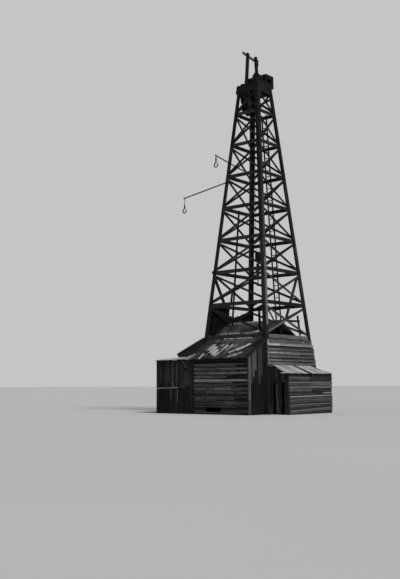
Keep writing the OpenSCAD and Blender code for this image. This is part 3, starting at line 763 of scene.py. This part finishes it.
def make_front_walls():
    wall = Plane((0, FRONT_FACE, 0), X, Z)
    boards = Boards(61)
    top = under_roof(-FRONT_Y) - 0.01
    # each board by its height, width, tone, right end and slant
    for v, width, tone, right, slant in ((3.09, 0.1, 0.16, 2.4, 0.0), (2.83, 0.12, 0.16, 2.6, -0.01),
            (2.57, 0.13, 0.19, 2.6, 0.0), (2.33, 0.12, 0.15, 1.0, 0.0), (2.11, 0.13, 0.26, 2.6, 0.0),
            (1.86, 0.11, 0.06, 2.6, 0.02), (1.6, 0.12, 0.12, 2.6, 0.0), (1.38, 0.11, 0.08, 2.6, -0.02),
            (1.09, 0.11, 0.07, 2.6, 0.0), (0.8, 0.11, 0.07, 2.6, -0.07), (0.61, 0.1, 0.06, 2.6, -0.06),
            (0.24, 0.12, 0.055, 2.6, 0.02)):
        spans = [(FRONT_LEFT, right)]
        if 0.15 < v < 0.55:
            spans = [(FRONT_LEFT, -0.68), (0.55, right)]
        for a, b in spans:
            cut = [a, b]
            if b - a > 2.5:
                cut = [a, boards.pick(a + 0.8, b - 1.6), boards.pick(b - 1.5, b - 0.7), b]
            for c, d, share in zip(cut, cut[1:], (0.76, 0.88, 0.64)):
                drift = boards.pick(-0.012, 0.012)
                ends = [(x, v + slant * (x - 0.5) / 2 + y) for x, y in ((c + 0.003, drift), (d - 0.003, -drift))]
                boards.lay(wall, *ends, 0.013, width * boards.pick(0.85, 1.2), WALL_T,
                           tone * boards.pick(0.7, 1.2) * share, 0.6, 0.06)
        # A thin dark strip just under each board: painted shadow of the board's lower edge.
        start, end = (FRONT_LEFT + 0.1, v - 0.115), (min(right, 2.3) - boards.pick(0, 0.9), v - 0.12)
        boards.lay(wall, start, end, 0.009, 0.07, 0.012, boards.pick(0.03, 0.08), 0.8)
    # The dark lining behind the boards is painted shade, standing in for the dark room seen through the gaps.
    rows(boards, wall, 0.0, 0.15, 0.15, 0.15, lambda v: (FRONT_LEFT, FRONT_END), LINING_T, 0.003, 0.014)
    span = (FRONT_LEFT + 0.02, FRONT_END - 0.04)
    rows(boards, wall, 0.57, top - 0.02, 0.25, 0.28, lambda v: span, LINING_T, 0.003, 0.014)
    for a, b in ((FRONT_LEFT, -0.66), (0.51, FRONT_END)):
        boards.lay(wall, (a + 0.02, 0.35), (b - 0.02, 0.35), 0.003, 0.42, LINING_T, 0.014, 0.0)
    boards.lay(wall, (FRONT_END - 0.045, 0.0), (FRONT_END - 0.045, top), 0.018, 0.08, WALL_T, 0.03, 0.3)
    boards.make("front_wall_boards", WALL, ["front_wall"], bow=0.012, wave=0.06)

    boards = Boards(62)
    end = Plane((FRONT_END - BOARD, 0, 0), Y, Z)
    for i, shade in enumerate((0.085, 0.03, 0.065, 0.065, 0.012, 0.032, 0.028, 0.009, 0.008, 0.01)):
        y = FRONT_FACE + 0.1 + 0.2 * i
        low, high = max(0.0, (FOOT + y) / TAPER), under_roof(y) - 0.01
        split = 1.5 + 0.4 * ((i * 5) % 4) if i else 0.9
        boards.lay(end, (y, low), (y, split), 0.015, 0.19, WALL_T, 0.009 if i else 0.05, 0.2)
        boards.lay(end, (y, split + 0.004), (y, high), 0.015, 0.19, WALL_T, shade, 0.3)
    boards.make("front_end_boards", WALL, ["front_end"], wear=0.04, bow=0.008, wave=0.04)


make_front_walls()


def right_under(x):
    fall = (RIGHT_TOP - RIGHT_EAVE) / (RIGHT_OUT - half(RIGHT_TOP) - 0.0308)
    return RIGHT_EAVE + fall * (RIGHT_OUT - x) - 0.028


def make_right_room():
    boards, worn = Boards(71), Boards(75)
    wall = Plane((RIGHT_X - BOARD, 0, 0), Y, Z)
    top = right_under(RIGHT_X)
    near, far = NEAR_Y - BOARD, FAR_Y
    # each board by its middle height, width, tone, right end, rise and the tone of its worn edge, if it has one
    for v, width, tone, right, slant, edge in ((2.2, 0.15, 0.06, -0.45, 0.0, 0.12),
            (2.22, 0.12, 0.035, far, 0.0, 0.0), (1.9, 0.17, 0.07, far, 0.0, 0.17),
            (1.66, 0.12, 0.08, far, 0.01, 0.16), (1.5, 0.16, 0.075, -0.16, 0.0, 0.0),
            (1.27, 0.12, 0.035, 0.2, 0.0, 0.0), (1.05, 0.18, 0.05, far, 0.03, 0.27),
            (0.84, 0.17, 0.05, far, 0.02, 0.11), (0.55, 0.16, 0.042, far, 0.03, 0.14),
            (0.24, 0.16, 0.05, far, 0.08, 0.16)):
        left = -0.4 if v == 2.22 else near + (0.05 if v < 1.2 else 0.0)
        cut = [left, boards.pick(-0.6, 0.8), right] if right - left > 3 else [left, right]
        for a, b in zip(cut, cut[1:]):
            ends = [(c, v + slant * c / 2.4) for c in (a + boards.pick(0.0, 0.07) * (a == left), b - 0.003)]
            boards.lay(wall, *ends, 0.014, width * boards.pick(0.9, 1.1), WALL_T,
                       tone * boards.pick(0.8, 1.25), 0.7, 0.05)
            if edge:
                ends = [(c, z + width / 2 - 0.02) for c, z in ends]
                worn.lay(wall, *ends, 0.027, 0.06, WALL_T, 0.92 * edge * boards.pick(0.85, 1.1), 0.7, 0.05)
    worn.lay(wall, (1.12, 1.3), (2.2, 1.31), 0.027, 0.07, 0.018, 0.2)
    # Thin dark strips in some gaps between the boards: painted shade.
    for v in (2.06, 1.78, 0.7, 0.4):
        boards.lay(wall, (near + 0.1, v), (boards.pick(0.6, 2.0), v), 0.008, 0.08, 0.01, 0.025, 0.6)
    # The dark lining behind the boards is painted shade, standing in for the dark room seen through the gaps.
    rows(boards, wall, 0.02, top - 0.02, 0.28, 0.31, lambda v: (near + 0.05, far - 0.05), LINING_T, 0.003, 0.02)
    boards.make("right_wall_boards", WALL, ["right_wall"], bow=0.014, wave=0.06)
    worn.make("right_wall_worn_edges", (wood_edge, "wall_boards"), [], wear=0.03, bow=0.0, wave=0.08)

    boards = Boards(76)  # loose boards that stand on end inside the near doorway
    for i in range(3):
        x = 3.13 + 0.155 * i
        end = (x + boards.pick(-0.02, 0.03), -2.34, 1.98 + 0.05 * i)
        boards.add((x, -2.37, 0.02), end, 0.14, 0.025, -Y, boards.pick(0.035, 0.06))
    boards.add((3.27, -2.41, 0.02), (3.1, -2.38, 1.86), 0.07, 0.025, -Y, 0.16)
    boards.make("loose_boards_in_doorway", WALL, [], wear=0.04, bow=0.004, wave=0.04)

    door_left, door_right, door_top = FOOT + 0.1, FOOT + 0.9, 1.95
    # The far end's boards are pale: painted light, standing in for the light that comes into the room through the
    # doorway and the roof.
    for name, node, y, seed, tones, special in (
            ("right_near_end_boards", "right_end_near", NEAR_Y, 72, (0.018, 0.026), {3: 0.035, 6: 0.05}),
            ("right_far_end_boards", "right_end_far", FAR_Y, 73, (0.2, 0.28), {})):
        boards = Boards(seed)
        end = Plane((0, y, 0), X, Z)

        def rise(u):
            over_door = y < 0 and door_left < u < door_right
            return door_top if over_door else max(0.0, (FOOT - u) / TAPER), right_under(u) - 0.01

        columns(boards, end, 2.76, RIGHT_X - BOARD, 0.17, 0.16, rise, WALL_T, 0.015, tones, special)
        boards.make(name, WALL, [node], wear=0.03, bow=0.008, wave=0.04)

    boards = Boards(74)
    across = RIGHT_OUT - half(RIGHT_TOP) - 0.032
    angle = atan((RIGHT_TOP - RIGHT_EAVE) / across)
    roof = Plane((RIGHT_OUT, 0, RIGHT_EAVE), Y, (-cos(angle), 0, sin(angle)))
    run = across / cos(angle)

    def slit_at(share):
        """The long split from the eave, at share 0, to the derrick."""
        return -0.4 + 0.54 * share ** 1.6

    def low_end(y):
        """How far up the boards of the ragged near end still reach."""
        for a, b, p, q in ((-2.46, -2.84, 0.8, 0.38), (-2.84, -3.01, 0.38, 0.14), (-3.01, -3.62, 0.14, 0.03)):
            if b <= y <= a:
                return p + (q - p) * (a - y) / (a - b)
        return 1.0

    for a, b, count in ((-3.6, 0, 13), (0, 2.25, 9)):
        for i in range(count):
            edges = []
            for share in (0.0, 1.0):
                gap = 0.24 - 0.07 * share
                left, right = (a, slit_at(share) - gap) if a < 0 else (slit_at(share) + gap, b)
                edges.append(left + (right - left) * (i + 0.5) / count)
            width = (right - left) / count
            reach = low_end(edges[0])
            tone = boards.pick(0.24, 0.36) * (0.7 if i % 5 == 3 else 1.0)
            drop = boards.pick(0.0, 0.04) + (0.04 if i % 4 == 1 else 0.0)
            parts = [(0.0, reach)]
            if edges[0] > 1.5:
                parts = [(0.0, 0.52 - 0.37 * (edges[0] - 1.55)), (0.56 + 0.72 * (edges[0] - 1.55), 1.0)]
            for p, q in parts:
                if q - p > 0.05:
                    low, high = (edges[0] + (edges[1] - edges[0]) * share for share in (p, q))
                    boards.lay(roof, (low, run * p + (drop + 0.01 if p == 0 else 0)), (high, run * q),
                               -0.016 + 0.004 * (i % 2), width * 1.06, 0.02, tone, 0.5)
    # A dark board under the long split, seen through it: painted shade of the dark space under the roof.
    for i in range(4):
        p, q = i / 4, (i + 1) / 4
        boards.lay(roof, (slit_at(p), run * p), (slit_at(q), run * q), -0.034, 0.5, 0.008, 0.008, 0.0)
    boards.make("right_roof_boards", (wood_pale, "sheet_roof"), ["right_roof"], bow=0.004, wave=0.01)


make_right_room()


def left_top(x):
    return LEFT_TOP - LEFT_FALL * (-x - half(LEFT_TOP) - 0.0308)


def make_left_side():
    angle = atan(LEFT_FALL)
    inner = -half(LEFT_TOP) - 0.035
    roof = Plane((LEFT_X, 0, left_top(LEFT_X)), -Y, (cos(angle), 0, sin(angle)))
    run = (inner - LEFT_X) / cos(angle)
    boards = Boards(81)
    for _, u, w in courses(boards, -2.35, 2.55, (0.18, 0.22, 0.26)):
        start = (u, boards.pick(0, 0.06))
        boards.lay(roof, start, (u, run), -0.018, w - GAP, ROOFING_T, boards.pick(0.05, 0.11))
    boards.make("left_roof_boards", ROOF, ["left_roof"], wear=0.1, bow=0.015)

    boards = Boards(82)
    face = Plane((LEFT_X, -2.5503, left_top(LEFT_X)), (cos(angle), 0, sin(angle)), (-sin(angle), 0, cos(angle)))
    inner_f = (-half(4.4) - 0.04 - LEFT_X) / cos(angle)
    for i, (a, b) in enumerate(((-0.05, 0.0), (-0.02, 0.02), (-0.01, 0.05), (0.03, 0.06), (0.05, 0.3))):
        v = -0.06 - 0.12 * i
        boards.lay(face, (a, v), (inner_f - b, v), 0.016, 0.125, ROOFING_T, boards.pick(0.02, 0.03))
    boards.make("left_fascia_boards", (wood_frame, "wall_boards"), ["left_fascia"], wear=0.08, bow=0.004)

    boards = Boards(83)
    front = Plane((0, FRONT_FACE, 0), X, Z)
    for i in range(17):
        u = LEFT_X + 0.0956 + 0.1912 * i
        split = 1.6 + 0.13 * ((i * 3) % 4)
        upper = boards.pick(0.014, 0.032)
        boards.lay(front, (u, 0.0), (u + 0.01, split), 0.014, 0.18, WALL_T, boards.pick(0.008, 0.018), 0.3)
        end = (u, ANNEX_TOP - boards.pick(0, 0.03))
        boards.lay(front, (u + 0.01, split + 0.004), end, 0.014, 0.18, WALL_T, upper, 0.3)
    boards.lay(front, (LEFT_X + 0.02, 1.62), (-2.97, 1.68), 0.026, 0.05, 0.02, 0.22)
    boards.lay(front, (-2.96, 1.68), (-2.5, 1.7), 0.026, 0.04, 0.02, 0.06)
    boards.add(front.at(-2.74, 3.36, 0.034), front.at(-2.27, 2.76, 0.03), 0.14, WALL_T, front.out, 0.01)
    boards.add(front.at(-2.6, 3.34, 0.036), front.at(-2.31, 2.94, 0.033), 0.05, WALL_T, front.out, 0.12)
    for u, low, high, width, tone in ((-2.36, 1.85, 2.6, 0.17, 0.045), (-2.18, 1.75, 2.5, 0.17, 0.04),
            (-2.0, 1.8, 2.4, 0.14, 0.032), (-3.49, 1.75, 3.3, 0.07, 0.06), (-3.12, 1.8, 3.2, 0.08, 0.055),
            (-3.62, 0.95, 1.55, 0.08, 0.06), (-3.06, 0.75, 1.58, 0.1, 0.06)):
        boards.lay(front, (u, low), (u + 0.01, high), 0.024, width, 0.012, tone, 0.8)
    left = Plane((LEFT_X + BOARD, 0, 0), -Y, Z)

    def left_rise(u):
        return 0.0, ANNEX_TOP + ANNEX_FALL * (FRONT_Y - u) - 0.01

    def back_rise(u):
        corner = FOOT - 0.15
        return up((u + corner) / TAPER) if u > -corner else 0.0, up(ANNEX_TOP + 0.2)

    columns(boards, left, 3.06, FRONT_Y - BOARD, 0.19, 0.18, left_rise, WALL_T, 0.014, (0.02, 0.04))
    reach = (LEFT_X + BOARD, -half(1.7) + 0.1)
    columns(boards, side_plane(0), *reach, 0.19, 0.18, back_rise, WALL_T, 0.015, (0.04, 0.08))
    boards.make("annex_wall_boards", WALL, ["annex_walls"])

    boards = Boards(84)
    eave = (0, -FRONT_Y - 0.12, ANNEX_TOP - 0.12 * ANNEX_FALL + 0.03)
    slope = Plane(eave, X, Vector((0, 1, ANNEX_FALL)).normalized())
    depth = FRONT_Y + 0.12 - half(ANNEX_TOP + 0.2)
    for edge, u, w in courses(boards, LEFT_X - 0.06, FRONT_LEFT - 0.02, (0.2, 0.24, 0.28)):
        tone = boards.pick(0.3, 0.42) if edge < -3.9 else boards.pick(0.12, 0.22)
        boards.lay(slope, (u, 0), (u, depth), -0.014, w - 0.01, SIDING_T, tone, 0.6)
    boards.make("annex_roof_boards", ROOF, ["annex_roof"], wave=0.03)


make_left_side()


# ---- ladder, struts, gin beam
def make_ladder():
    boards = Boards(91)
    back = side_plane(2)
    inside = 3 * PLANK + 2 * SEAT
    for u in (-0.34, 0.04):
        for i in range(5):
            low, high = 0.9 + 3.92 * i, min(0.9 + 3.92 * (i + 1), 20.5) - 0.003
            boards.lay(back, (u, low), (u, high), -inside - 0.035, 0.08, 0.068, boards.pick(0.012, 0.02), 0.2)
    for i in range(46):
        v = 1.1 + 0.42 * i
        start, end = ((u, v + boards.pick(-0.012, 0.012)) for u in (-0.35, 0.05))
        boards.lay(back, start, end, -inside - 0.036, 0.055, 0.045, boards.pick(0.012, 0.024), 0.5)
    boards.make("ladder_rails_and_rungs", FRAME, ["ladder"], wear=0.02, bow=0.004, wave=0.02)

    for k, name, start, end in ((0, "left", (-2.039, up(8.89)), (-1.15, up(7.17))),
                                (1, "right", (1.86, up(9.0)), (0.12, up(6.18)))):
        boards = Boards(92 + k)
        boards.lay(side_plane(k), start, end, -inside - 0.03, 0.2, 0.06, 0.018)
        boards.make(f"{name}_loose_strut", FRAME, [f"strut_{name}"], wear=0.04, bow=0.004)

    boards = Boards(94)
    plane = side_plane(1)
    boards.lay(plane, (1.48, 6.43), (1.57, 5.1), -inside - 0.035, 0.17, 0.05, 0.014, 0.3)
    boards.lay(plane, (0.32, 6.02), (1.74, 6.07), -inside - 0.085, 0.14, 0.045, 0.018, 0.5)
    boards.make("hand_rail_boards", FRAME, ["hand_rail"], wear=0.04, bow=0.004, wave=0.04)

    boards = Boards(96)  # the post on the roof
    boards.add((1.27, -1.5, 5.43), (1.24, -1.5, 6.65), 0.14, 0.075, -Y, 0.014, 0.3)
    boards.make("roof_post_timber", FRAME, ["roof_post"], wear=0.03, bow=0.0, wave=0.03)

    boards = Boards(95)
    middle = LEG_TOP + SEAT + 2.16
    boards.add((-0.3353, -0.891, middle + 0.105), (-0.3353, 0.594, middle - 0.1), 0.165, 0.06, -X, 0.05, 0.5)
    boards.make("gin_beam_board", FRAME, ["gin_beam"], wear=0.04, bow=0.0, wave=0.04)


make_ladder()


def ring_of(bm, place, x_axis, y_axis, radius, sides):
    turns = [tau * i / sides for i in range(sides)]
    return [bm.verts.new(place + x_axis * (radius * cos(a)) + y_axis * (radius * sin(a))) for a in turns]


def skin(bm, rings):
    """Walls between rings of equal count, and a cap at each end."""
    sides = len(rings[0])
    for low, high in zip(rings, rings[1:]):
        for i in range(sides):
            bm.faces.new((low[i], low[(i + 1) % sides], high[(i + 1) % sides], high[i]))
    bm.faces.new(rings[0][::-1])
    bm.faces.new(rings[-1])


def make_hoist_block():
    """The travelling block: two cheek plates with rounded ends, its pulley, a weighted body and the casing hook."""
    bm = bmesh.new()
    centre = Vector((0.06, 0.02, 0))
    top, low, radius, corners = 10.76, 9.96, 0.17, 28
    outline = []
    for a in (tau * i / corners for i in range(corners)):
        middle = top - radius if cos(a) > 0 else low + 0.2
        outline.append((radius * sin(a), middle + radius * cos(a)))
    for y in (-0.085, 0.06):
        skin(bm, [[bm.verts.new(centre + Vector((x, y + depth, z))) for x, z in outline] for depth in (0, 0.025)])
    hub = centre + Z * 10.46
    profile = ((-0.056, 0.05), (-0.056, 0.185), (-0.02, 0.15), (0.02, 0.15), (0.056, 0.185), (0.056, 0.05))
    skin(bm, [ring_of(bm, hub + Y * y, X, Z, r, 32) for y, r in profile])
    body = ((10.02, 0.03), (9.94, 0.06), (9.9, 0.11), (9.2, 0.12), (9.12, 0.09), (9.06, 0.045), (8.86, 0.04))
    skin(bm, [ring_of(bm, centre + Z * z, X, Y, r, 24) for z, r in body])
    path = [Z * z for z in (8.88, 8.76, 8.66)]
    for i in range(13):
        a = radians(-10 - 20 * i)
        path.append(Vector((0.11 * sin(a), 0, 8.55 + 0.11 * cos(a))))
    rings = []
    for i, place in enumerate(path):
        ahead = (path[min(i + 1, len(path) - 1)] - path[max(i - 1, 0)]).normalized()
        radius = 0.036 * (1 - max(0, i - 10) / 10)
        rings.append(ring_of(bm, centre + place, Y, ahead.cross(Y), radius, 12))
    skin(bm, rings)
    bmesh.ops.recalc_face_normals(bm, faces=bm.faces)
    mesh = bpy.data.meshes.new("hoist_block_and_hook")
    bm.to_mesh(mesh)
    bm.free()
    mesh.materials.append(iron)
    piece("hoist_block_and_hook", mesh, "iron", ["hoist_block"])


make_hoist_block()


# ---- bolts
def bolt_tree(inputs):
    """A square nut on a washer at each point, set along the point's outward side."""
    tree, (points, nut, washer, height, finish) = new_group("bolts", inputs, "Bolts")
    joined = tree.node("GeometryNodeJoinGeometry")
    for sides, radius, depth in ((4, nut, height), (10, washer, height * 0.3)):
        solid = tree.node("GeometryNodeMeshCylinder", {"Vertices": sides, "Radius": radius, "Depth": depth})
        lift = tree.joined(0, 0, depth * 0.5)
        part = tree.node("GeometryNodeTransform", {"Geometry": solid, "Translation": lift})
        tree.fill(joined.socket.node, {0: part})
    out = tree.node("GeometryNodeInputNamedAttribute", {"Name": "out"}, data_type="FLOAT_VECTOR")
    turn = tree.node("FunctionNodeAlignRotationToVector", {"Vector": out}, axis="Z")
    laid = tree.node("GeometryNodeInstanceOnPoints", {"Points": points, "Instance": joined, "Rotation": turn})
    laid = tree.node("GeometryNodeRealizeInstances", {"Geometry": laid})
    return closed_group(tree, laid, finish)


def make_bolts():
    """Two nuts at each end of each girt."""
    places, outs = [], []
    for k in range(4):
        plane = side_plane(k)
        for z in (level(i) for i in range(2, 11)):
            for s in (-1, 1):
                for du, dv in ((-0.05, -0.06), (0.05, 0.06)):
                    places.append(plane.at(s * (half(z) - 0.14) + du, up(z) + dv, 0.001))
                    outs.append(plane.out)
    inputs = {"Nut": 0.022, "Washer": 0.032, "Height": 0.018}
    mesh = grown("leg_bolts", places, {"out": outs}, bolt_tree(inputs), {"Finish": iron, **inputs})
    piece("leg_bolts", mesh, "iron", [])


make_bolts()


# ---- the solids that stay
def solid_timber(name, base):
    """Square timber. The fibres run up it."""
    material, tree = new_material(name)
    place = tree.on_object()
    fibres = tree.noise(tree.vector("MULTIPLY", place, (26.0, 26.0, 3.0)), 1.0, 4.0, 0.6)
    stains = tree.noise(place, 1.6, 3.0)
    shade = base * (1 + (fibres - 0.5) * 0.7 + (stains - 0.5) * 0.8)
    return finish_material(material, tree, tree.tint(shade), 0.7 + 0.2 * fibres, fibres, 0.005)


timber = solid_timber("dark_square_timber", 0.014)
timber_grey = solid_timber("grey_square_timber", 0.06)
finishes = {
    timber: ("crown_base", "crown_beams", "gin_posts", "pole_low", "pole_high", "floor_sills", "roof_frame",
             "front_frame", "right_frame", "left_posts", "annex_frame"),
    timber_grey: ("floor_boards",),
    iron: ("crown_pulleys", "hook_low", "hook_high", "standing_pipe"),
    rope_steel: ("hoist_lines",),
}
for material, names in finishes.items():
    for name in names:
        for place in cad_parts[name].material_slots:
            place.material = material

bpy.context.scene.view_settings.view_transform = "Standard"
